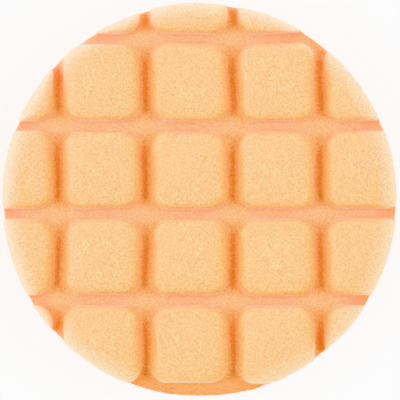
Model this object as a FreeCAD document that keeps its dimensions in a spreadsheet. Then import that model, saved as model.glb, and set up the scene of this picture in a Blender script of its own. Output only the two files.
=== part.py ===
"""Round foam polishing pad with a waffle face and a hook-and-loop back.

Frame: millimetres. The origin is the centre of the loop face, which the pad
stands on. +Z points through the pad towards the waffle face, and +X and +Y run
along the grid of grooves.
"""

import FreeCAD
import Part
import Sketcher
import math
import os

# name, value in millimetres (or a plain count), what it is
DRIVING_SIZES = [
    ("pad_diameter", 150, "outside diameter of the foam"),
    ("foam_thickness", 27.5, "back of the foam to the tops of the blocks"),
    ("groove_depth", 9, "tops of the blocks down to the groove floor"),
    ("groove_width", 3.6, "width of a groove at its floor"),
    ("grid_pitch", 33.1, "groove centreline to groove centreline, both ways"),
    ("groove_line_x", 12.5, "x of the groove centreline just right of the middle"),
    ("groove_line_y", -5.1, "y of the groove centreline just below the middle"),
    ("block_corner", 6.5, "radius of a block's four upright corners"),
    ("block_round", 3, "rounding along a block's top edge"),
    ("block_columns", 5, "blocks along X, whole or cut by the rim"),
    ("block_rows", 5, "blocks along Y, whole or cut by the rim"),
    ("rim_round", 5.5, "radius of the rounding between the side and the face"),
    ("rim_height", 5, "how far below the face that rounding starts"),
    ("waist_depth", 0.8, "how far the side is pulled in at mid height"),
    ("cut_clearance", 1, "how far the die's profile runs past the sheet"),
    ("backing_diameter", 144, "outside diameter of every layer behind the foam"),
    ("film_thickness", 0.25, "hot-melt film between the foam and the loop fabric"),
    ("binder_thickness", 0.15, "resin coat that locks the fabric's yarns"),
    ("cloth_thickness", 0.6, "knitted ground of the loop fabric"),
    ("pile_height", 1.5, "raised loops, from their tips to the ground cloth"),
]

# columns left of groove_line_x and rows below groove_line_y
COLUMNS_LEFT = 3
ROWS_BELOW = 2

# node name and its thickness in the sheet, from the loop tips up to the foam
BACKING_LAYERS = [
    ("loop_pile", "pile_height"),
    ("ground_cloth", "cloth_thickness"),
    ("binder_coat", "binder_thickness"),
    ("adhesive_film", "film_thickness"),
]

START, END, CENTRE = 1, 2, 3
ORIGIN = (-1, 1)
X_AXIS = -1


def make_sheet(doc):
    sheet = doc.addObject("Spreadsheet::Sheet", "sizes")
    for row, (alias, value, meaning) in enumerate(DRIVING_SIZES, start=1):
        sheet.set(f"A{row}", alias)
        sheet.set(f"B{row}", str(value))
        sheet.set(f"C{row}", meaning)
        sheet.setAlias(f"B{row}", alias)
    doc.recompute()
    return sheet


def make_body(doc, label):
    body = doc.addObject("PartDesign::Body", label)
    body.Label = label
    return body


def make_sketch(body, name, plane):
    """An empty sketch on one of the body's own origin planes."""
    sketch = body.newObject("Sketcher::SketchObject", name)
    for feature in body.Origin.OriginFeatures:
        if feature.Role == plane:
            sketch.AttachmentSupport = [(feature, "")]
    sketch.MapMode = "FlatFace"
    return sketch


def tie(sketch, *constraint):
    sketch.addConstraint(Sketcher.Constraint(*constraint))


def drive(sketch, name, expression, *constraint):
    """Adds a dimension and binds it to the sheet. The last value only starts it off."""
    index = sketch.addConstraint(Sketcher.Constraint(*constraint))
    sketch.renameConstraint(index, name)
    sketch.setExpression(f"Constraints.{name}", expression)


def add_line(sketch, start, end):
    line = Part.LineSegment(FreeCAD.Vector(*start, 0), FreeCAD.Vector(*end, 0))
    return sketch.addGeometry(line, False)


def add_arc(sketch, centre, radius, start_angle, end_angle):
    """An anticlockwise arc."""
    circle = Part.Circle(FreeCAD.Vector(*centre, 0), FreeCAD.Vector(0, 0, 1), radius)
    return sketch.addGeometry(Part.ArcOfCircle(circle, start_angle, end_angle), False)


def draw_circle(sketch, radius, expression):
    circle = Part.Circle(FreeCAD.Vector(0, 0, 0), FreeCAD.Vector(0, 0, 1), radius)
    index = sketch.addGeometry(circle, False)
    tie(sketch, "Coincident", index, CENTRE, *ORIGIN)
    drive(sketch, "radius", expression, "Radius", index, radius)


def draw_square(sketch, side, expression):
    """A square centred on the sketch's origin."""
    half = side / 2
    corners = [(-half, -half), (half, -half), (half, half), (-half, half)]
    for number, corner in enumerate(corners):
        add_line(sketch, corner, corners[(number + 1) % 4])
    for number in range(4):
        tie(sketch, "Coincident", number, END, (number + 1) % 4, START)
        tie(sketch, ("Horizontal", "Vertical")[number % 2], number)
    tie(sketch, "Symmetric", 0, START, 2, START, *ORIGIN)
    drive(sketch, "width", expression, "DistanceX", 0, START, 0, END, side)
    drive(sketch, "depth", expression, "DistanceY", 1, START, 1, END, side)


def draw_block(sketch, sizes):
    """The rounded square of the first block: lines 0 to 3, corner arcs 4 to 7."""
    side = sizes.grid_pitch - sizes.groove_width
    corner = sizes.block_corner
    left = sizes.groove_line_x - COLUMNS_LEFT * sizes.grid_pitch + sizes.groove_width / 2
    bottom = sizes.groove_line_y - ROWS_BELOW * sizes.grid_pitch + sizes.groove_width / 2
    right = left + side
    top = bottom + side
    add_line(sketch, (left + corner, bottom), (right - corner, bottom))
    add_line(sketch, (right, bottom + corner), (right, top - corner))
    add_line(sketch, (right - corner, top), (left + corner, top))
    add_line(sketch, (left, top - corner), (left, bottom + corner))
    quarter = math.pi / 2
    centres = [
        (right - corner, bottom + corner),
        (right - corner, top - corner),
        (left + corner, top - corner),
        (left + corner, bottom + corner),
    ]
    for number, centre in enumerate(centres):
        add_arc(sketch, centre, corner, (number - 1) * quarter, number * quarter)
    for line in range(4):
        tie(sketch, "Tangent", line, END, line + 4, START)
        tie(sketch, "Tangent", line + 4, END, (line + 1) % 4, START)
        tie(sketch, ("Horizontal", "Vertical")[line % 2], line)
    for arc in (5, 6, 7):
        tie(sketch, "Equal", 4, arc)
    side_expression = "sizes.grid_pitch - sizes.groove_width"
    left_expression = (
        f"{COLUMNS_LEFT} * sizes.grid_pitch - sizes.groove_line_x"
        " - sizes.groove_width / 2 - sizes.block_corner"
    )
    bottom_expression = (
        f"{ROWS_BELOW} * sizes.grid_pitch - sizes.groove_line_y"
        " - sizes.groove_width / 2 - sizes.block_corner"
    )
    drive(sketch, "corner", "sizes.block_corner", "Radius", 4, corner)
    drive(sketch, "width", side_expression, "DistanceX", 3, END, 1, START, side)
    drive(sketch, "height", side_expression, "DistanceY", 0, START, 2, END, side)
    drive(sketch, "left", left_expression, "DistanceX", 7, CENTRE, *ORIGIN, -left - corner)
    drive(sketch, "bottom", bottom_expression, "DistanceY", 7, CENTRE, *ORIGIN, -bottom - corner)


def draw_die(sketch, sizes):
    """The half section that the die takes away: all that is outside the side and the rim.

    It is drawn from below the sheet, up the waisted side, round the rim, and back
    along a line outside the sheet.
    """
    radius = sizes.pad_diameter / 2
    height = sizes.foam_thickness
    rim = sizes.rim_round
    shoulder = height - sizes.rim_height
    waist = sizes.waist_depth
    outside = sizes.pad_diameter
    over = height + sizes.cut_clearance
    under = -sizes.cut_clearance
    half_side = shoulder / 2
    waist_radius = (half_side**2 + waist**2) / (2 * waist)
    waist_angle = math.asin(half_side / waist_radius)
    foot = add_line(sketch, (radius, under), (radius, 0))
    side = add_arc(
        sketch,
        (radius - waist + waist_radius, half_side),
        waist_radius,
        math.pi - waist_angle,
        math.pi + waist_angle,
    )
    brow = add_arc(sketch, (radius - rim, shoulder), rim, 0, math.pi / 2)
    rise = add_line(sketch, (radius - rim, shoulder + rim), (radius - rim, over))
    top = add_line(sketch, (radius - rim, over), (outside, over))
    back = add_line(sketch, (outside, over), (outside, under))
    base = add_line(sketch, (outside, under), (radius, under))
    tie(sketch, "Coincident", foot, END, side, END)
    tie(sketch, "Coincident", side, START, brow, START)
    tie(sketch, "Coincident", brow, END, rise, START)
    tie(sketch, "Coincident", rise, END, top, START)
    tie(sketch, "Coincident", top, END, back, START)
    tie(sketch, "Coincident", back, END, base, START)
    tie(sketch, "Coincident", base, END, foot, START)
    for line in (foot, rise, back):
        tie(sketch, "Vertical", line)
    for line in (top, base):
        tie(sketch, "Horizontal", line)
    tie(sketch, "PointOnObject", foot, END, X_AXIS)
    tie(sketch, "Vertical", foot, END, brow, START)
    tie(sketch, "Horizontal", brow, CENTRE, brow, START)
    tie(sketch, "Vertical", brow, CENTRE, brow, END)
    waist_expression = (
        "((sizes.foam_thickness - sizes.rim_height)^2 / 4 + sizes.waist_depth^2)"
        " / (2 * sizes.waist_depth)"
    )
    shoulder_expression = "sizes.foam_thickness - sizes.rim_height"
    over_expression = "sizes.foam_thickness + sizes.cut_clearance"
    drive(sketch, "radius", "sizes.pad_diameter / 2", "DistanceX", *ORIGIN, foot, END, radius)
    drive(sketch, "rim", "sizes.rim_round", "Radius", brow, rim)
    drive(sketch, "shoulder", shoulder_expression, "DistanceY", *ORIGIN, brow, START, shoulder)
    drive(sketch, "waist", waist_expression, "Radius", side, waist_radius)
    drive(sketch, "over", over_expression, "DistanceY", *ORIGIN, rise, END, over)
    drive(sketch, "under", "sizes.cut_clearance", "DistanceY", foot, START, foot, END, -under)
    drive(sketch, "outside", "sizes.pad_diameter", "DistanceX", *ORIGIN, back, END, outside)


def edges_at_height(shape, height, length_limit):
    """Names of the edges that lie flat at a height and are shorter than a limit."""
    names = []
    for number, edge in enumerate(shape.Edges, start=1):
        box = edge.BoundBox
        flat = abs(box.ZMin - height) < 1e-6 and abs(box.ZMax - height) < 1e-6
        if flat and edge.Length < length_limit:
            names.append(f"Edge{number}")
    return names


def make_waffle_foam(doc, sizes):
    """One piece of foam: a sheet, carved blocks in a grid, then the round die cut."""
    body = make_body(doc, "waffle_foam")

    sheet_sketch = make_sketch(body, "foam_sheet_outline", "XY_Plane")
    sheet_side = sizes.pad_diameter + sizes.grid_pitch
    draw_square(sheet_sketch, sheet_side, "sizes.pad_diameter + sizes.grid_pitch")
    foam_sheet = body.newObject("PartDesign::Pad", "foam_sheet")
    foam_sheet.Profile = sheet_sketch
    foam_sheet.setExpression("Length", "sizes.foam_thickness - sizes.groove_depth")

    block_sketch = make_sketch(body, "block_outline", "XY_Plane")
    draw_block(block_sketch, sizes)
    block_sketch.setExpression(
        "AttachmentOffset.Base.z", "sizes.foam_thickness - sizes.groove_depth"
    )
    block = body.newObject("PartDesign::Pad", "block")
    block.Profile = block_sketch
    block.setExpression("Length", "sizes.groove_depth")
    doc.recompute()

    block_top = edges_at_height(block.Shape, sizes.foam_thickness, sizes.grid_pitch)
    rounded_block = body.newObject("PartDesign::Fillet", "rounded_block")
    rounded_block.Base = (block, block_top)
    rounded_block.setExpression("Radius", "sizes.block_round")
    rounded_block.SupportTransform = True
    doc.recompute()

    grid = body.newObject("PartDesign::LinearPattern", "block_grid")
    grid.Originals = [rounded_block]
    grid.Direction = (block_sketch, ["H_Axis"])
    grid.Mode = "Spacing"
    grid.setExpression("Offset", "sizes.grid_pitch")
    grid.setExpression("Occurrences", "sizes.block_columns")
    grid.Direction2 = (block_sketch, ["V_Axis"])
    grid.Mode2 = "Spacing"
    grid.setExpression("Offset2", "sizes.grid_pitch")
    grid.setExpression("Occurrences2", "sizes.block_rows")
    grid.Spacings2 = [-1.0] * (grid.Occurrences2 - 1)
    body.Tip = grid
    doc.recompute()

    die_sketch = make_sketch(body, "die_outline", "XZ_Plane")
    draw_die(die_sketch, sizes)
    die_cut = body.newObject("PartDesign::Groove", "die_cut")
    die_cut.Profile = die_sketch
    die_cut.ReferenceAxis = (die_sketch, ["V_Axis"])
    die_cut.Angle = 360
    body.Tip = die_cut

    backing = " + ".join(f"sizes.{thickness}" for _, thickness in BACKING_LAYERS)
    body.setExpression("Placement.Base.z", backing)
    doc.recompute()
    if not die_cut.Shape.Volume < grid.Shape.Volume:
        raise RuntimeError("the die cut took nothing away")
    return body


def make_backing_layer(doc, sizes, name, thickness, layers_below):
    """A flat disc that lies on the layers below it."""
    body = make_body(doc, name)
    sketch = make_sketch(body, f"{name}_outline", "XY_Plane")
    draw_circle(sketch, sizes.backing_diameter / 2, "sizes.backing_diameter / 2")
    disc = body.newObject("PartDesign::Pad", f"{name}_disc")
    disc.Profile = sketch
    disc.setExpression("Length", f"sizes.{thickness}")
    if layers_below:
        body.setExpression("Placement.Base.z", " + ".join(f"sizes.{t}" for t in layers_below))
    return body


def check(doc, bodies):
    """Stops before anything is written if a feature or a shape has failed."""
    for item in doc.Objects:
        if "Invalid" in item.State or "Error" in item.State:
            raise RuntimeError(f"{item.Label} failed: {item.State}")
    for body in bodies:
        shape = body.Shape
        if shape.isNull() or not shape.isValid() or len(shape.Solids) != 1:
            raise RuntimeError(f"{body.Label} isn't one valid solid")


def main():
    doc = FreeCAD.newDocument("polishing_pad")
    sizes = make_sheet(doc)
    bodies = []
    layers_below = []
    for name, thickness in BACKING_LAYERS:
        bodies.append(make_backing_layer(doc, sizes, name, thickness, layers_below))
        layers_below.append(thickness)
    bodies.append(make_waffle_foam(doc, sizes))
    doc.recompute()
    check(doc, bodies)
    os.makedirs("parts", exist_ok=True)
    for body in bodies:
        body.Shape.exportStep(f"parts/{body.Label}.step")
        box = body.Shape.optimalBoundingBox(False)
        print(
            f"{body.Label}: {box.XLength:.2f} x {box.YLength:.2f} x {box.ZLength:.2f} mm,"
            f" z from {box.ZMin:.2f}, {body.Shape.Volume / 1000:.1f} cm3"
        )


main()
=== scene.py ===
"""The look of a round waffle-faced foam polishing pad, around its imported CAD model.

Lengths in the geometry functions are millimetres in the row's frame, and
new_mesh() turns them into metres. The pad stands on its loops, face up.
"""

import math

import bpy
import numpy as np
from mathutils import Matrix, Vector


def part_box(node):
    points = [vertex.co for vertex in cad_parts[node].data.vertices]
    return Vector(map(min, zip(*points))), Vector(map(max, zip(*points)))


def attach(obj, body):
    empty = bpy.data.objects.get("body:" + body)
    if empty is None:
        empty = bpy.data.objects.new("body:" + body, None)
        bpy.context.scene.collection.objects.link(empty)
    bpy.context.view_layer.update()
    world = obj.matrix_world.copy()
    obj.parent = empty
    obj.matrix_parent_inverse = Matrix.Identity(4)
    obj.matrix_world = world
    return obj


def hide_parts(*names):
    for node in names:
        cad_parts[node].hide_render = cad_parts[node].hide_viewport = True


MM = 0.001
SEED = 7

# the waffle grid, as the CAD has it
GRID_PITCH = 33.1
GROOVE_WIDTH = 3.6
GROOVE_DEPTH = 9.0
GROOVE_LINE_X = 12.5
GROOVE_LINE_Y = -5.1
BLOCK_CORNER = 6.5
LOWEST_ROW = -2  # the lowest row of blocks, counted from the groove line
FIRST_GROOVE, LAST_GROOVE = -3, 3
FAR_AWAY = 1000.0  # the distance to a block that isn't there

# the form of the blocks, the grooves and the cut side
EDGE_ROUND_X = 4.4  # of the edges that face +X and -X
EDGE_ROUND_Y = 2.2
BLOCK_CROWN = 0.9
WALL_DRAFT = math.radians(4)
FOOT_ROUND = 1.4
RIM_ROUND = 8.0
RIM_LIFT = 1.1
CUT_EDGE_ROUND = 0.9
BACK_EDGE_ROUND = 0.6
WAIST = 0.8
WAIST_TOP = 22.5

# how uneven soft foam is, and how far its faces are set in from the CAD's
GRID_WANDER = 0.16
FACE_SWELL = 0.05
FLOOR_SWELL = 0.08
SIDE_SWELL = 0.1
DIMPLE_DEPTH = 0.05
BLOCK_LIFT = 0.12
BLOCK_SPREAD = 0.18
PICKS = 16  # the blocks' own random values repeat after this many rows or columns
FACE_INSET = 0.15
SIDE_INSET = 0.1

# spacing of the foam's mesh: at edges and grooves, over the blocks, down the side
EDGE_STEP = 0.66
BLOCK_STEP = 1.1
SIDE_STEP = 1.4
RING_OF_CELLS = ((-1, -1), (0, -1), (0, 0), (-1, 0))  # the cells around an edge, in order

# the foam's colour, lit and shaded copies of one orange: in the grooves, painted shade at
# the blocks' edges, a painted highlight on their faces, painted shade down the side
# and a painted highlight on the rim's shoulder
DEEP_FOAM = (0.985, 0.545, 0.18)
EDGE_SHADE_FOAM = (0.985, 0.48, 0.065)
FACE_HIGHLIGHT_FOAM = (0.985, 0.56, 0.2)
SIDE_SHADE_FOAM = (0.965, 0.37, 0.05)
RIM_HIGHLIGHT_FOAM = (0.99, 0.77, 0.49)

# how far below the face the edges' painted shade ends and the faces' painted highlight begins
EDGE_TONE_DEPTH = 2.6
FACE_TONE_DEPTH = 0.35

# what the cells and the struts between them do to that colour
CELL_TINT = (0.9, 0.7, 0.52)
STRUT_TINT = (1.0, 1.22, 1.44)

# the hook-and-loop backing
RIM_SECTORS = 240
WALE_PITCH = 1.6
COURSE_PITCH = 1.65
LOOP_YARN = 0.16
LOOP_POINTS = 6
LOOP_ROOT = 0.12  # how far a loop reaches up into the cloth
LOOP_MARGIN = 0.6
RIB_HEIGHT = 0.16
RIB_POINTS = 30
RIB_SWAY = 0.1
RIB_WAVE = 7.3
YARN_ENDS = 320
END_YARN = 0.045
EDGE_TUCK = 0.3  # ribs and yarn ends start this far inside the cloth's edge

# the table: the radius and height of each of its rings, in millimetres
TABLE_SECTORS = 48
TABLE_RINGS = ((3000, 0), (4000, 60), (5000, 400))

# the camera and the lamps, in metres
CAMERA_DISTANCE = 1.6
CAMERA_ASIDE = 0.00015
PAD_SHARE = 0.98675  # of the picture's width
LAMP_DISTANCE = 1.5
LAMP_TARGET = (0, 0, 0.025)
SOFTBOX = (0.5, 0.5)
FILL = (0.5, 0.3)
STRIP = (0.5, 0.15)

# places of the colour sockets of a Mix node, which share their names with others
MIX_FROM, MIX_TO, MIX_RESULT = 6, 7, 2

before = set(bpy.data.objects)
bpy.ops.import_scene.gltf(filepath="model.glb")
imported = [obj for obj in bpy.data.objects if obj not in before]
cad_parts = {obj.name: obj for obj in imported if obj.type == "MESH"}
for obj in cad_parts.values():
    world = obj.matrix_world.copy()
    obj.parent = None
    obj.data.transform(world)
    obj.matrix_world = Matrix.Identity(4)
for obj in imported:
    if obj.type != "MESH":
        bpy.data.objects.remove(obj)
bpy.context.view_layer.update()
rng = np.random.default_rng(SEED)


def node_size(node):
    """Radius, lowest and highest point of a round node, in millimetres."""
    low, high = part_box(node)
    return (high[0] - low[0]) / 2 / MM, low[2] / MM, high[2] / MM


PAD_RADIUS, FOAM_BACK, FACE = node_size("waffle_foam")
FLOOR = FACE - GROOVE_DEPTH
BACKING_RADIUS, FILM_LOW, FILM_HIGH = node_size("adhesive_film")
_, BINDER_LOW, BINDER_HIGH = node_size("binder_coat")
_, CLOTH_LOW, CLOTH_HIGH = node_size("ground_cloth")
_, PILE_LOW, _ = node_size("loop_pile")


# ---------------------------------------------------------------- small tools


class Ripple:
    """A smooth random field over space: a few sine waves in random directions."""

    def __init__(self, wavelength, waves=9):
        directions = rng.normal(size=(waves, 3))
        directions /= np.linalg.norm(directions, axis=1)[:, None]
        lengths = wavelength * rng.uniform(0.7, 1.4, waves)
        self.vectors = directions * (2 * math.pi / lengths)[:, None]
        self.phases = rng.uniform(0, 2 * math.pi, waves)
        self.gain = math.sqrt(2 / waves)

    def __call__(self, x, y, z):
        total = 0.0
        for vector, phase in zip(self.vectors, self.phases):
            total = total + np.sin(vector[0] * x + vector[1] * y + vector[2] * z + phase)
        return self.gain * total


def round_max(a, b, radius):
    """Intersection of two distance fields with a rounded edge."""
    corner = np.hypot(np.maximum(a + radius, 0), np.maximum(b + radius, 0))
    return np.minimum(-radius, np.maximum(a, b)) + corner


def round_min(a, b, radius):
    """Union of two distance fields with a filleted corner."""
    corner = np.hypot(np.maximum(radius - a, 0), np.maximum(radius - b, 0))
    return np.maximum(radius, np.minimum(a, b)) - corner


def new_mesh(name, vertices, faces, material, smooth=True):
    """A new object from millimetre vertices and faces: an array of them, or a list."""
    mesh = bpy.data.meshes.new(name)
    vertices = np.asarray(vertices, dtype=np.float64) * MM
    if isinstance(faces, np.ndarray):
        sides = faces.shape[1]
        mesh.vertices.add(len(vertices))
        mesh.vertices.foreach_set("co", vertices.ravel())
        mesh.loops.add(faces.size)
        mesh.loops.foreach_set("vertex_index", faces.ravel().astype(np.int32))
        mesh.polygons.add(len(faces))
        starts = np.arange(len(faces), dtype=np.int32) * sides
        mesh.polygons.foreach_set("loop_start", starts)
        mesh.update(calc_edges=True)
    else:
        mesh.from_pydata(vertices.tolist(), [], faces)
    mesh.validate()
    mesh.polygons.foreach_set("use_smooth", [smooth] * len(mesh.polygons))
    mesh.materials.append(material)
    piece = bpy.data.objects.new(name, mesh)
    bpy.context.collection.objects.link(piece)
    return piece


# ------------------------------------------------------------- the foam's form

wander_x = Ripple(26)
wander_y = Ripple(26)
face_swell = Ripple(40)
side_swell = Ripple(30)
block_lift = rng.uniform(-BLOCK_LIFT, BLOCK_LIFT, (PICKS, PICKS))
block_size = rng.uniform(-BLOCK_SPREAD, BLOCK_SPREAD, (PICKS, PICKS))
dimples = Ripple(3.4, waves=14)


def waffle_field(x, y, z):
    """Signed distance to the waffle sheet, before the die cuts it."""
    x = x + GRID_WANDER * wander_x(x, y, z)
    y = y + GRID_WANDER * wander_y(x, y, z)
    column = np.floor((x - GROOVE_LINE_X) / GRID_PITCH)
    row = np.floor((y - GROOVE_LINE_Y) / GRID_PITCH)
    from_middle_x = x - GROOVE_LINE_X - (column + 0.5) * GRID_PITCH
    from_middle_y = y - GROOVE_LINE_Y - (row + 0.5) * GRID_PITCH
    pick = (column.astype(int) % PICKS, row.astype(int) % PICKS)
    half = (GRID_PITCH - GROOVE_WIDTH + block_size[pick]) / 2
    over_x = np.abs(from_middle_x) - half + BLOCK_CORNER
    over_y = np.abs(from_middle_y) - half + BLOCK_CORNER
    wall = np.hypot(np.maximum(over_x, 0), np.maximum(over_y, 0)) - BLOCK_CORNER
    wall = wall + np.minimum(np.maximum(over_x, over_y), 0)
    wall = wall + np.maximum(z - FLOOR, 0) * math.tan(WALL_DRAFT)
    across = np.minimum(np.abs(from_middle_x) / half, 1) ** 2
    along = np.minimum(np.abs(from_middle_y) / half, 1) ** 2
    crown = BLOCK_CROWN * (1 - (1 - across) * (1 - along))
    top = FACE - FACE_INSET - crown + block_lift[pick] + FACE_SWELL * face_swell(x, y, 0)
    faces_x = np.clip(0.5 + (over_x - over_y) / (2 * BLOCK_CORNER), 0, 1)
    edge_round = EDGE_ROUND_Y + (EDGE_ROUND_X - EDGE_ROUND_Y) * faces_x
    block = round_max(wall, z - top, edge_round)
    block = np.where(row < LOWEST_ROW, FAR_AWAY, block)
    other_swell = face_swell(y, x, 20)  # another slice of the same ripple
    floor = z - FLOOR - FLOOR_SWELL * other_swell
    return round_min(block, floor, FOOT_ROUND)


def foam_field(x, y, z):
    """Signed distance to the finished foam."""
    middle = (FOAM_BACK + WAIST_TOP) / 2
    reach = (WAIST_TOP - FOAM_BACK) / 2
    height = np.clip((z - middle) / reach, -1, 1)
    radius = PAD_RADIUS - WAIST * (1 - height**2)
    side = np.hypot(x, y) - radius + SIDE_INSET + SIDE_SWELL * side_swell(x, y, z)
    die = round_max(side, z - FACE - RIM_LIFT, RIM_ROUND)
    form = round_max(waffle_field(x, y, z), die, CUT_EDGE_ROUND)
    form = form + DIMPLE_DEPTH * dimples(x, y, z)
    return round_max(form, FOAM_BACK - z, BACK_EDGE_ROUND)


def graded(stops):
    """Grid lines from one stop to the next. Each stop is (place, spacing up to the next)."""
    lines = []
    for (start, spacing), (end, _) in zip(stops, stops[1:]):
        count = max(1, round((end - start) / spacing))
        lines.extend(np.linspace(start, end, count, endpoint=False))
    lines.append(stops[-1][0])
    return np.array(lines)


def face_lines(groove_line):
    """Grid lines across the face: close together at the grooves, wider over the blocks."""
    dense = GROOVE_WIDTH / 2 + EDGE_ROUND_X + 0.8
    edge = PAD_RADIUS + 1.2
    stops = [(-edge, EDGE_STEP)]
    for number in range(FIRST_GROOVE, LAST_GROOVE + 1):
        middle = groove_line + number * GRID_PITCH
        stops.append((middle - dense, EDGE_STEP))
        stops.append((middle + dense, BLOCK_STEP))
    stops = [stop for stop in stops if -edge <= stop[0] < edge]
    stops.append((edge, 0))
    return graded(stops)


def height_lines():
    """Grid lines up the foam: close together at the back, the groove floors and the face."""
    stops = [
        (FOAM_BACK - 1.0, 0.5),
        (FOAM_BACK + 1.0, SIDE_STEP),
        (FLOOR - 0.9, 0.45),
        (FLOOR + 1.4, 1.0),
        (FACE - EDGE_ROUND_X - 1.0, 0.5),
        (FACE + 1.0, 0),
    ]
    return graded(stops)


def crossed_edges(value, grid, axis):
    """The grid edges along one axis that the surface crosses.

    Gives where they are, where on them the surface is, and which start inside it.
    """
    near = [slice(None)] * 3
    far = [slice(None)] * 3
    near[axis] = slice(None, -1)
    far[axis] = slice(1, None)
    near, far = tuple(near), tuple(far)
    inside = value < 0
    where = np.nonzero(inside[near] != inside[far])
    a = value[near][where]
    b = value[far][where]
    point = np.stack([g[near][where] for g in grid], axis=1)
    step = grid[axis][far][where] - grid[axis][near][where]
    point[:, axis] += a / (a - b) * step
    return where, point, inside[near][where]


def cells_beside(where, axis, steps):
    """The cells beside grid edges: one step or none back along each of the other two axes."""
    first, second = [other for other in range(3) if other != axis]
    cell = list(where)
    cell[first] = cell[first] + steps[0]
    cell[second] = cell[second] + steps[1]
    return tuple(cell)


def surface_net(field, xs, ys, zs):
    """Quads around the zero surface of a field sampled on a grid of lines.

    Each cell that the surface crosses gets one vertex, the mean of the crossings
    on its edges, and each crossed edge gets the quad of the four cells around it.
    """
    grid = np.meshgrid(xs, ys, zs, indexing="ij")
    value = field(*grid)
    edges = [crossed_edges(value, grid, axis) for axis in range(3)]
    shape = np.array(value.shape) - 1
    total = np.zeros((*shape, 3))
    hits = np.zeros(shape)
    for axis, (where, point, _) in enumerate(edges):
        for steps in RING_OF_CELLS:
            cell = cells_beside(where, axis, steps)
            np.add.at(total, cell, point)
            np.add.at(hits, cell, 1)
    used = hits > 0
    index = np.full(shape, -1)
    index[used] = np.arange(used.sum())
    vertices = total[used] / hits[used][:, None]
    quads = []
    for axis, (where, _, starts_inside) in enumerate(edges):
        corners = [index[cells_beside(where, axis, steps)] for steps in RING_OF_CELLS]
        quad = np.stack(corners, axis=1)
        outward = starts_inside if axis != 1 else ~starts_inside
        quad[~outward] = quad[~outward][:, ::-1]
        quads.append(quad)
    return vertices, np.concatenate(quads)


def pull_to_surface(field, points, rounds=3):
    """Moves points along the field's gradient until they lie on the surface."""
    reach = 0.02
    for _ in range(rounds):
        x, y, z = points.T
        here = field(x, y, z)
        slope = np.stack(
            [
                field(x + reach, y, z) - field(x - reach, y, z),
                field(x, y + reach, z) - field(x, y - reach, z),
                field(x, y, z + reach) - field(x, y, z - reach),
            ],
            axis=1,
        ) / (2 * reach)
        length_squared = np.maximum((slope**2).sum(axis=1), 0.05)
        points = points - slope * (here / length_squared)[:, None]
    return points


def relax(points, quads, share):
    """Moves each point towards the mean of its neighbours."""
    total = np.zeros_like(points)
    count = np.zeros(len(points))
    for start in range(4):
        a = quads[:, start]
        b = quads[:, (start + 1) % 4]
        for here, there in ((a, b), (b, a)):
            for axis in range(3):
                total[:, axis] += np.bincount(here, points[there, axis], len(points))
            count += np.bincount(here, minlength=len(points))
    return points + share * (total / count[:, None] - points)


def make_foam(material):
    """The foam as one closed mesh, relaxed so that its quads are even."""
    lines = face_lines(GROOVE_LINE_X), face_lines(GROOVE_LINE_Y), height_lines()
    points, quads = surface_net(foam_field, *lines)
    points = pull_to_surface(foam_field, points)
    for _ in range(4):
        points = relax(points, quads, 0.5)
        points = pull_to_surface(foam_field, points, rounds=2)
    piece = new_mesh("foam_pad", points, quads, material)
    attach(piece, "root")
    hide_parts("waffle_foam")
    return piece


# ------------------------------------------------------------ the backing's form


def lathe(profile, sectors, wobble):
    """Vertices and faces of a profile turned about +Z. It starts and ends on the axis.

    wobble is a Ripple that moves the rim in and out, with its strength in millimetres.
    """
    ripple, strength = wobble
    turn = np.arange(sectors) * 2 * math.pi / sectors
    radius = np.array([point[0] for point in profile[1:-1]])[:, None]
    height = np.array([point[1] for point in profile[1:-1]])[:, None] + 0 * turn
    rim = radius.max()
    uneven = ripple(rim * np.cos(turn), rim * np.sin(turn), height)
    radius = radius + strength * uneven * (radius / rim) ** 8
    ring = np.stack([radius * np.cos(turn), radius * np.sin(turn), height], axis=2)
    vertices = [*ring.reshape(-1, 3), (0, 0, profile[0][1]), (0, 0, profile[-1][1])]
    start, end = len(vertices) - 2, len(vertices) - 1
    last = (len(profile) - 3) * sectors
    faces = []
    for k in range(sectors):
        after = (k + 1) % sectors
        faces.append((start, after, k))
        faces.append((end, last + k, last + after))
        for row in range(0, last, sectors):
            faces.append((row + k, row + after, row + sectors + after, row + sectors + k))
    return vertices, faces


def backing_piece(name, vertices, faces, material, node):
    """A piece that takes the place of one CAD node of the backing."""
    piece = new_mesh(name, vertices, faces, material)
    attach(piece, "root")
    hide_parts(node)
    return piece


def flat_disc(radius, low, high, rim_points, rings=9):
    """A profile: in along the lower face, round the rim's points and back to the axis."""
    steps = [radius * (ring + 1) / (rings + 1) for ring in range(rings)]
    lower = [(0, low), *((step, low) for step in steps)]
    upper = [*((step, high) for step in reversed(steps)), (0, high)]
    return [*lower, *rim_points, *upper]


def make_glue_film(material):
    """The hot-melt film, squeezed out into a thin bead along the backing's edge."""
    middle = (FILM_LOW + FILM_HIGH) / 2
    edge = BACKING_RADIUS
    bead = [
        (edge - 0.35, FILM_LOW),
        (edge + 0.12, FILM_LOW - 0.03),
        (edge + 0.34, middle - 0.05),
        (edge + 0.38, middle + 0.02),
        (edge + 0.3, FILM_HIGH),
        (edge - 0.35, FILM_HIGH),
    ]
    profile = flat_disc(edge - 1, FILM_LOW, FILM_HIGH, bead)
    vertices, faces = lathe(profile, RIM_SECTORS, (Ripple(9), 0.12))
    return backing_piece("glue_film", vertices, faces, material, "adhesive_film")


def make_resin_coat(material):
    """The binder, which stops a little short of the cloth's cut edge."""
    edge = BACKING_RADIUS - 0.15
    middle = (BINDER_LOW + BINDER_HIGH) / 2
    rim = [(edge - 0.05, BINDER_LOW), (edge, middle), (edge - 0.05, BINDER_HIGH)]
    profile = flat_disc(edge - 1, BINDER_LOW, BINDER_HIGH, rim)
    vertices, faces = lathe(profile, RIM_SECTORS, (Ripple(14), 0.1))
    return backing_piece("resin_coat", vertices, faces, material, "binder_coat")


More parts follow.
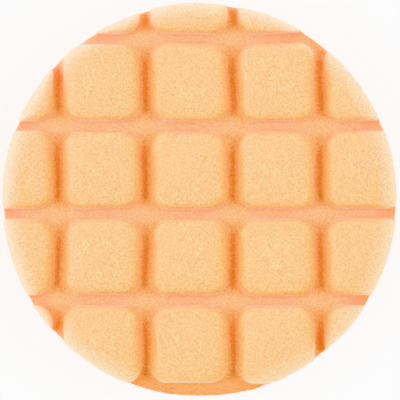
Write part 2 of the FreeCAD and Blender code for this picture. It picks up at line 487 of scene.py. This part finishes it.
def tubes(lines, side, radius, sides):
    """Capped tubes. lines is tube x point x 3, and side holds a sideways unit vector for each."""
    count, points, _ = lines.shape
    along = np.gradient(lines, axis=1)
    along /= np.linalg.norm(along, axis=2, keepdims=True)
    across = np.broadcast_to(side[:, None, :], along.shape)
    across = across - (across * along).sum(axis=2, keepdims=True) * along
    across /= np.linalg.norm(across, axis=2, keepdims=True)
    third = np.cross(along, across)
    turn = np.arange(sides) * 2 * math.pi / sides
    around = across[:, :, None] * np.cos(turn)[:, None] + third[:, :, None] * np.sin(turn)[:, None]
    vertices = (lines[:, :, None] + radius * around).reshape(-1, 3)
    index = np.arange(count * points * sides).reshape(count, points, sides)
    after = np.roll(index, -1, axis=2)
    lower, lower_after = index[:, :-1], after[:, :-1]
    upper, upper_after = index[:, 1:], after[:, 1:]
    faces = [
        np.stack([lower, lower_after, upper_after], axis=3).reshape(-1, 3),
        np.stack([lower, upper_after, upper], axis=3).reshape(-1, 3),
    ]
    for corner in range(1, sides - 1):
        first, last = index[:, 0], index[:, -1]
        faces.append(np.stack([first[:, 0], first[:, corner + 1], first[:, corner]], axis=1))
        faces.append(np.stack([last[:, 0], last[:, corner], last[:, corner + 1]], axis=1))
    return vertices, np.concatenate(faces)


def make_loop_field(material):
    """The nylon loops: arches of yarn that hang from the cloth, leaning a little at random."""
    reach = BACKING_RADIUS - LOOP_MARGIN
    half_wales = int(reach / WALE_PITCH)
    half_courses = int(reach / COURSE_PITCH)
    wale, course = np.meshgrid(
        np.arange(-half_wales, half_wales + 1),
        np.arange(-half_courses, half_courses + 1),
        indexing="ij",
    )
    x = (wale * WALE_PITCH).ravel() + rng.uniform(-0.25, 0.25, wale.size)
    y = ((course + 0.5 * (wale % 2)) * COURSE_PITCH).ravel() + rng.uniform(-0.3, 0.3, wale.size)
    kept = np.hypot(x, y) < reach
    x, y = x[kept], y[kept]
    count = len(x)
    facing = rng.normal(0.4, 0.7, count)
    width = rng.uniform(0.75, 1.15, count)
    lean = rng.normal(0, 0.3, (count, 2))
    root = CLOTH_LOW + LOOP_ROOT
    depth = root - (LOOP_YARN + rng.uniform(0.0, 0.45, count) ** 1.5)
    share = np.linspace(0, 1, LOOP_POINTS)
    swing = -np.cos(math.pi * share) * (1 + 0.45 * np.sin(math.pi * share))
    drop = np.sin(math.pi * share) ** 0.8
    spread = 0.5 * width[:, None] * swing
    lines = np.stack(
        [
            x[:, None] + spread * np.cos(facing)[:, None] + lean[:, :1] * drop,
            y[:, None] + spread * np.sin(facing)[:, None] + lean[:, 1:] * drop,
            root - depth[:, None] * drop,
        ],
        axis=2,
    )
    side = np.stack([-np.sin(facing), np.cos(facing), 0 * facing], axis=1)
    vertices, faces = tubes(lines, side, LOOP_YARN, 3)
    vertices[:, 2] = np.maximum(vertices[:, 2], PILE_LOW)
    return backing_piece("loop_field", vertices, faces, material, "loop_pile")


def wale_ribs(edge, height):
    """One rib along each wale, swaying a little on its way across the disc."""
    wales = np.arange(-int(edge / WALE_PITCH), int(edge / WALE_PITCH) + 1) * WALE_PITCH
    half = np.sqrt((edge - EDGE_TUCK) ** 2 - wales**2)
    share = np.linspace(-1, 1, RIB_POINTS)
    along = half[:, None] * share
    ribs = np.stack(
        [
            wales[:, None] + RIB_SWAY * np.sin(along * 2 * math.pi / RIB_WAVE),
            along,
            np.full((len(wales), RIB_POINTS), height),
        ],
        axis=2,
    )
    flat_side = np.tile((1.0, 0.0, 0.0), (len(wales), 1))
    return tubes(ribs, flat_side, RIB_HEIGHT, 4)


def yarn_ends(edge, height):
    """Short ends of cut yarn that stick out of the cloth's edge."""
    turn = rng.uniform(0, 2 * math.pi, YARN_ENDS)
    outward = np.stack([np.cos(turn), np.sin(turn), 0 * turn], axis=1)
    sideways = np.stack([-np.sin(turn), np.cos(turn), 0 * turn], axis=1)
    sway = rng.normal(0, 0.35, YARN_ENDS)
    droop = rng.normal(0, 0.12, YARN_ENDS)
    length = rng.uniform(0.3, 1.3, YARN_ENDS)
    ends = []
    for part in (0.0, 0.5, 1.0):
        point = outward * (edge - EDGE_TUCK + (length + EDGE_TUCK) * part)[:, None]
        point = point + sideways * (sway * part**2)[:, None]
        point[:, 2] = height + droop * part**2
        ends.append(point)
    return tubes(np.stack(ends, axis=1), sideways, END_YARN, 3)


def make_knit_cloth(material, loops):
    """The ground cloth: a cut disc with a rib along each wale and yarn ends at its edge."""
    under = CLOTH_LOW + RIB_HEIGHT
    edge = BACKING_RADIUS
    middle = (under + CLOTH_HIGH) / 2
    rim = [(edge - 0.12, under), (edge, middle), (edge - 0.1, CLOTH_HIGH)]
    profile = flat_disc(edge - 1, under, CLOTH_HIGH, rim)
    vertices, faces = lathe(profile, RIM_SECTORS, (Ripple(4), 0.05))
    for more_vertices, more_faces in (wale_ribs(edge, under), yarn_ends(edge, middle)):
        faces.extend(map(tuple, more_faces + len(vertices)))
        vertices.extend(more_vertices)
    piece = backing_piece("knit_cloth", vertices, faces, material, "ground_cloth")
    return piece


# --------------------------------------------------------------- node helpers


class Nodes:
    """A material's node tree, with short calls to add and link nodes."""

    def __init__(self, name):
        self.material = bpy.data.materials.new(name)
        self.material.use_nodes = True
        self.tree = self.material.node_tree
        self.tree.nodes.clear()
        self.output = self.add("ShaderNodeOutputMaterial")
        self.shader = self.add("ShaderNodeBsdfPrincipled")
        self.link(self.shader, "BSDF", self.output, "Surface")
        self.place = self.add("ShaderNodeTexCoord")

    def add(self, kind, settings=None, values=None):
        """A new node, with settings on the node itself and values on its inputs."""
        node = self.tree.nodes.new(kind)
        for key, value in (settings or {}).items():
            setattr(node, key, value)
        for key, value in (values or {}).items():
            node.inputs[key].default_value = value
        return node

    def link(self, source, output, target, entry):
        """Both sockets are given by name, or by place where names repeat."""
        self.tree.links.new(source.outputs[output], target.inputs[entry])

    def set(self, **values):
        """Sets the shader's own inputs, whose names have spaces for underscores."""
        for key, value in values.items():
            self.shader.inputs[key.replace("_", " ")].default_value = value

    def noise(self, size, detail=2.0, roughness=0.5, drawn_out=1.0):
        """Noise whose features are about size millimetres across. Gives its node.

        drawn_out makes the features longer along Y than along X, by that ratio.
        """
        values = {"Scale": 1 / (size * MM), "Detail": detail, "Roughness": roughness}
        node = self.add("ShaderNodeTexNoise", values=values)
        squeeze = self.add("ShaderNodeVectorMath", {"operation": "MULTIPLY"})
        squeeze.inputs[1].default_value = (math.sqrt(drawn_out), 1 / math.sqrt(drawn_out), 1)
        self.link(self.place, "Object", squeeze, 0)
        self.link(squeeze, "Vector", node, "Vector")
        return node

    def cells(self, size, feature="F1"):
        """Cells about size millimetres across. Gives its node."""
        values = {"Scale": 1 / (size * MM)}
        node = self.add("ShaderNodeTexVoronoi", {"feature": feature}, values)
        self.link(self.place, "Object", node, "Vector")
        return node

    def bands(self, period, direction):
        """Soft stripes, one every period millimetres. A wave's period is pi / 10 over its scale."""
        values = {"Scale": math.pi / 10 / (period * MM)}
        node = self.add("ShaderNodeTexWave", {"bands_direction": direction}, values)
        self.link(self.place, "Object", node, "Vector")
        return node

    def range(self, source, output, low, high, to_low, to_high):
        """The output, mapped from low..high to to_low..to_high and clamped there."""
        values = {"From Min": low, "From Max": high, "To Min": to_low, "To Max": to_high}
        node = self.add("ShaderNodeMapRange", values=values)
        self.link(source, output, node, "Value")
        return node

    def math(self, operation, *terms):
        """Each term is a number or (node, output)."""
        node = self.add("ShaderNodeMath", {"operation": operation})
        for entry, value in enumerate(terms):
            if isinstance(value, tuple):
                self.link(value[0], value[1], node, entry)
            else:
                node.inputs[entry].default_value = value
        return node

    def ramp(self, source, output, stops):
        """The output, as a place along colour stops of (place, colour)."""
        node = self.add("ShaderNodeValToRGB")
        ramp = node.color_ramp
        while len(ramp.elements) < len(stops):
            ramp.elements.new(0.5)
        for element, (place, colour) in zip(ramp.elements, stops):
            element.position = place
            element.color = (*colour, 1)
        self.link(source, output, node, "Fac")
        return node

    def mix(self, factor, colour, other):
        """From colour, a (node, output), to other, three numbers, by factor, a (node, output)."""
        node = self.add("ShaderNodeMix", {"data_type": "RGBA"})
        self.link(factor[0], factor[1], node, "Factor")
        self.link(colour[0], colour[1], node, MIX_FROM)
        node.inputs[MIX_TO].default_value = (*other, 1)
        return node

    def product(self, colour, other):
        """Both are (node, output). Multiplies them channel by channel."""
        node = self.add("ShaderNodeVectorMath", {"operation": "MULTIPLY"})
        self.link(colour[0], colour[1], node, 0)
        self.link(other[0], other[1], node, 1)
        return node

    def tint(self, colour, factor):
        """colour is (node, output); factor (node, output) multiplies it."""
        node = self.add("ShaderNodeVectorMath", {"operation": "SCALE"})
        self.link(colour[0], colour[1], node, 0)
        self.link(factor[0], factor[1], node, "Scale")
        return node

    def bump(self, height, distance, strength, after=None):
        """A bump up to distance millimetres high, on top of the bump after."""
        values = {"Distance": distance * MM, "Strength": strength}
        node = self.add("ShaderNodeBump", values=values)
        self.link(height[0], height[1], node, "Height")
        if after is not None:
            self.link(after, "Normal", node, "Normal")
        return node


# ------------------------------------------------------------------ materials


def foam_places(nodes):
    """Ramps over the foam: out across the rim, up from the floors, up a block's height."""
    split = nodes.add("ShaderNodeSeparateXYZ")
    nodes.link(nodes.place, "Object", split, "Vector")
    flat = nodes.add("ShaderNodeCombineXYZ")
    nodes.link(split, "X", flat, "X")
    nodes.link(split, "Y", flat, "Y")
    radius = nodes.add("ShaderNodeVectorMath", {"operation": "LENGTH"})
    nodes.link(flat, "Vector", radius, "Vector")
    inner = (PAD_RADIUS - RIM_ROUND) * MM
    shoulder = nodes.range(radius, "Value", inner, PAD_RADIUS * MM, 0.0, 1.0)
    above_grooves = nodes.range(split, "Z", (FLOOR + 1) * MM, (FACE - 4) * MM, 0.0, 1.0)
    raised = nodes.range(split, "Z", FLOOR * MM, FACE * MM, 0.0, 1.0)
    return shoulder, above_grooves, raised


def foam_colour(nodes, places, grain):
    """Block faces paler, a painted highlight; edges and grooves deeper, painted shade; the side and
    the low floor near the rim deeper still, painted shade; and the shoulder palest, a painted
    highlight broken up by the grain.
    """
    shoulder, above_grooves, raised = places
    edge_place = 1 - EDGE_TONE_DEPTH / GROOVE_DEPTH
    face_place = 1 - FACE_TONE_DEPTH / GROOVE_DEPTH
    # painted light by height: deeper orange on the walls and edges as painted shade, paler on the
    # faces as a painted highlight
    tones = [
        (0.12, DEEP_FOAM),
        (0.35, EDGE_SHADE_FOAM),
        (edge_place, EDGE_SHADE_FOAM),
        (face_place, FACE_HIGHLIGHT_FOAM),
    ]
    body = nodes.ramp(raised, "Result", tones)
    # painted shade: a deeper orange down the side and over the low floor near the rim
    near_side = nodes.math("POWER", (shoulder, "Result"), 0.6)
    side_shade = nodes.math("SUBTRACT", (near_side, "Value"), (above_grooves, "Result"))
    side_shade.use_clamp = True
    body = nodes.mix((side_shade, "Value"), (body, "Color"), SIDE_SHADE_FOAM)
    speck = nodes.ramp(grain, "Fac", [(0.32, CELL_TINT), (0.68, STRUT_TINT)])
    body = nodes.product((body, MIX_RESULT), (speck, "Color"))
    tuft = nodes.range(grain, "Fac", 0.32, 0.68, 0.65, 1.3)
    # painted highlight: the rim's shoulder mixed towards pale cream, broken up by the grain
    rim_highlight = nodes.math("POWER", (shoulder, "Result"), 1.3)
    rim_highlight = nodes.math("MULTIPLY", (rim_highlight, "Value"), (above_grooves, "Result"))
    rim_highlight = nodes.math("MULTIPLY", (rim_highlight, "Value"), (tuft, "Result"))
    rim_highlight.use_clamp = True
    return nodes.mix((rim_highlight, "Value"), (body, "Vector"), RIM_HIGHLIGHT_FOAM)


def foam_shade(nodes, places, strut, cloud):
    """Brighter struts, dark pores that are shallow in the grooves, and faint clouds."""
    shoulder, _, raised = places
    pore = nodes.cells(1.05)
    by_cell = nodes.range(strut, "Result", 0.0, 1.0, 0.95, 1.03)
    cut_open = nodes.math("MAXIMUM", (raised, "Result"), (shoulder, "Result"))
    pore_depth = nodes.range(cut_open, "Value", 0.5, 0.95, 0.85, 0.3)
    by_pore = nodes.range(pore, "Distance", 0.12, 0.3, 0.3, 1.0)
    nodes.link(pore_depth, "Result", by_pore, "To Min")
    by_cloud = nodes.range(cloud, "Fac", 0.3, 0.7, 0.97, 1.02)
    factor = nodes.math("MULTIPLY", (by_cell, "Result"), (by_pore, "Result"))
    return nodes.math("MULTIPLY", (factor, "Value"), (by_cloud, "Result"))


def foam_material():
    """Open-cell polyurethane: fine cells with paler struts and darker openings.

    The faces of the blocks are painted paler than their rounded edges, as painted
    highlight and painted shade, and the rim's shoulder is painted palest, a painted highlight.
    """
    nodes = Nodes("orange_open_cell_foam")
    places = foam_places(nodes)
    cell = nodes.cells(0.8, "DISTANCE_TO_EDGE")
    strut = nodes.range(cell, "Distance", 0.0, 0.3, 1.0, 0.0)
    grain = nodes.noise(0.6, detail=1.0, roughness=0.5, drawn_out=1.6)
    cloud = nodes.noise(5.5, detail=3.0, roughness=0.55)
    body = foam_colour(nodes, places, grain)
    factor = foam_shade(nodes, places, strut, cloud)
    colour = nodes.tint((body, MIX_RESULT), (factor, "Value"))
    nodes.link(colour, "Vector", nodes.shader, "Base Color")
    rough = nodes.range(grain, "Fac", 0.3, 0.7, 0.95, 0.78)
    nodes.link(rough, "Result", nodes.shader, "Roughness")
    height = nodes.math("MULTIPLY", (grain, "Fac"), 0.8)
    height = nodes.math("ADD", (height, "Value"), (strut, "Result"))
    fine = nodes.bump((height, "Value"), 0.14, 0.75)
    soft = nodes.bump((cloud, "Fac"), 0.25, 0.5, after=fine)
    nodes.link(soft, "Normal", nodes.shader, "Normal")
    nodes.set(IOR=1.5, Specular_IOR_Level=0.6, Sheen_Weight=0.75, Sheen_Roughness=0.35)
    nodes.set(Sheen_Tint=(1.0, 0.95, 0.87, 1.0))
    return nodes.material


def film_material():
    """Hot-melt film: a satin amber sheet with faint flow streaks."""
    nodes = Nodes("amber_hot_melt_film")
    streak = nodes.noise(6.0, detail=3.0, roughness=0.6)
    body = nodes.ramp(
        streak, "Fac", [(0.3, (0.72, 0.56, 0.3)), (0.7, (0.84, 0.7, 0.44))]
    )
    nodes.link(body, "Color", nodes.shader, "Base Color")
    rough = nodes.range(streak, "Fac", 0.3, 0.7, 0.28, 0.45)
    nodes.link(rough, "Result", nodes.shader, "Roughness")
    wave = nodes.bump((streak, "Fac"), 0.08, 0.6)
    nodes.link(wave, "Normal", nodes.shader, "Normal")
    nodes.set(Subsurface_Weight=0.4, Subsurface_Scale=0.5 * MM)
    return nodes.material


def resin_material():
    """The binder: milky, with the dull skin that a coating roller leaves."""
    nodes = Nodes("milky_binder")
    skin = nodes.noise(0.9, detail=3.0, roughness=0.65)
    body = nodes.ramp(
        skin, "Fac", [(0.3, (0.7, 0.69, 0.63)), (0.7, (0.82, 0.81, 0.76))]
    )
    nodes.link(body, "Color", nodes.shader, "Base Color")
    rough = nodes.range(skin, "Fac", 0.3, 0.7, 0.5, 0.7)
    nodes.link(rough, "Result", nodes.shader, "Roughness")
    dull = nodes.bump((skin, "Fac"), 0.05, 0.7)
    nodes.link(dull, "Normal", nodes.shader, "Normal")
    return nodes.material


def knit_material():
    """Warp knit: rows of stitches along the wales, in charcoal nylon."""
    nodes = Nodes("charcoal_warp_knit")
    wale = nodes.bands(0.8, "X")
    course = nodes.bands(0.55, "Y")
    fuzz = nodes.noise(0.3, detail=3.0, roughness=0.7)
    stitch = nodes.math("MULTIPLY", (wale, "Fac"), (course, "Fac"))
    yarn = nodes.math("MULTIPLY_ADD", (fuzz, "Fac"), 0.5, (stitch, "Value"))
    body = nodes.ramp(
        yarn, "Value", [(0.15, (0.022, 0.023, 0.025)), (0.9, (0.07, 0.072, 0.077))]
    )
    nodes.link(body, "Color", nodes.shader, "Base Color")
    rough = nodes.range(fuzz, "Fac", 0.3, 0.7, 0.65, 0.9)
    nodes.link(rough, "Result", nodes.shader, "Roughness")
    weave = nodes.bump((yarn, "Value"), 0.16, 0.9)
    nodes.link(weave, "Normal", nodes.shader, "Normal")
    nodes.set(Sheen_Weight=0.1, Sheen_Roughness=0.4)
    return nodes.material


def loop_material():
    """Charcoal nylon loops, painted a little darker towards the cloth as painted shade, with fine
    filaments.
    """
    nodes = Nodes("charcoal_nylon_loops")
    split = nodes.add("ShaderNodeSeparateXYZ")
    nodes.link(nodes.place, "Object", split, "Vector")
    # painted shade: the loops darker towards the cloth, deep in the pile
    rise = nodes.range(split, "Z", PILE_LOW * MM, CLOTH_LOW * MM, 1.0, 0.78)
    tuft = nodes.noise(2.6, detail=2.0)
    filament = nodes.noise(0.12, detail=2.0, roughness=0.6)
    body = nodes.ramp(
        tuft, "Fac", [(0.3, (0.06, 0.062, 0.066)), (0.7, (0.12, 0.123, 0.13))]
    )
    by_filament = nodes.range(filament, "Fac", 0.3, 0.7, 0.9, 1.05)
    factor = nodes.math("MULTIPLY", (rise, "Result"), (by_filament, "Result"))
    colour = nodes.tint((body, "Color"), (factor, "Value"))
    nodes.link(colour, "Vector", nodes.shader, "Base Color")
    rough = nodes.range(filament, "Fac", 0.3, 0.7, 0.4, 0.6)
    nodes.link(rough, "Result", nodes.shader, "Roughness")
    strand = nodes.bump((filament, "Fac"), 0.03, 0.8)
    nodes.link(strand, "Normal", nodes.shader, "Normal")
    nodes.set(Sheen_Weight=0.1, Sheen_Roughness=0.4)
    return nodes.material


def floor_material():
    """A light table: white acrylic lit from below."""
    nodes = Nodes("light_table")
    nodes.set(Base_Color=(0.35, 0.35, 0.35, 1), Roughness=0.9, Specular_IOR_Level=0.1)
    nodes.set(Emission_Color=(0.97, 0.99, 1, 1), Emission_Strength=2.1)
    return nodes.material


# --------------------------------------------------------------- the studio


def make_floor():
    """A round table whose far edge bends up, so that low views end in white too."""
    turn = np.arange(TABLE_SECTORS) * 2 * math.pi / TABLE_SECTORS
    rings = []
    for radius, height in TABLE_RINGS:
        ring = [radius * np.cos(turn), radius * np.sin(turn), height + 0 * turn]
        rings.append(np.stack(ring, axis=1))
    faces = [tuple(range(TABLE_SECTORS))]
    for start in (0, TABLE_SECTORS):
        outer = start + TABLE_SECTORS
        for k in range(TABLE_SECTORS):
            after = (k + 1) % TABLE_SECTORS
            faces.append((start + k, outer + k, outer + after, start + after))
    floor = new_mesh("floor", np.concatenate(rings), faces, floor_material(), smooth=False)


def make_camera():
    """A long lens straight above the pad, which all but fills the picture."""
    data = bpy.data.cameras.new("camera")
    camera = bpy.data.objects.new("camera", data)
    bpy.context.collection.objects.link(camera)
    shoulder = WAIST_TOP * MM
    seen_width = 2 * PAD_RADIUS * MM / PAD_SHARE
    data.sensor_width = 36
    data.lens = data.sensor_width * CAMERA_DISTANCE / seen_width
    data.clip_end = 20
    camera.location = (CAMERA_ASIDE, 0, shoulder + CAMERA_DISTANCE)
    bpy.context.scene.camera = camera


def make_lamp(name, azimuth, elevation, level, size):
    """A softbox that faces the pad. level is its irradiance over pi on a surface facing it."""
    data = bpy.data.lights.new(name, "AREA")
    data.shape = "RECTANGLE"
    data.size, data.size_y = size
    data.energy = level * math.pi**2 * LAMP_DISTANCE**2
    lamp = bpy.data.objects.new(name, data)
    bpy.context.collection.objects.link(lamp)
    turn, rise = math.radians(azimuth), math.radians(elevation)
    away = (math.cos(turn) * math.cos(rise), math.sin(turn) * math.cos(rise), math.sin(rise))
    lamp.location = LAMP_DISTANCE * Vector(away)
    direction = Vector(LAMP_TARGET) - lamp.location
    lamp.rotation_euler = direction.to_track_quat("-Z", "Y").to_euler()
    lamp.visible_camera = False


def make_world(level):
    """An even white surround."""
    world = bpy.data.worlds.new("studio")
    world.use_nodes = True
    background = world.node_tree.nodes["Background"]
    background.inputs["Color"].default_value = (1, 1, 1, 1)
    background.inputs["Strength"].default_value = level
    bpy.context.scene.world = world


def make_lights():
    """Most of the light comes from the left, and much of it skims over the face."""
    make_lamp("left_softbox", 180, 52, 0.6, SOFTBOX)
    make_lamp("right_softbox", 0, 52, 0.57, SOFTBOX)
    make_lamp("back_right_softbox", 45, 52, 0.3, SOFTBOX)
    make_lamp("back_left_softbox", 135, 52, 0.2, SOFTBOX)
    make_lamp("left_fill", 180, 25, 0.5, FILL)
    make_lamp("right_fill", 0, 25, 0.2, FILL)
    make_lamp("back_right_fill", 45, 25, 0.3, FILL)
    make_lamp("left_rim_light", 180, 5, 0.75, STRIP)
    make_lamp("back_left_rim_light", 150, 5, 1.2, STRIP)
    make_lamp("back_rim_light", 120, 5, 0.3, STRIP)
    make_lamp("back_right_rim_light", 60, 5, 0.35, STRIP)
    make_lamp("right_rim_light", 30, 5, 0.15, STRIP)
    make_world(0.28)


make_camera()
make_foam(foam_material())
make_glue_film(film_material())
make_resin_coat(resin_material())
make_knit_cloth(knit_material(), make_loop_field(loop_material()))
make_floor()
make_lights()

scene = bpy.context.scene
scene.view_settings.view_transform = "Khronos PBR Neutral"
scene.cycles.diffuse_bounces = 12
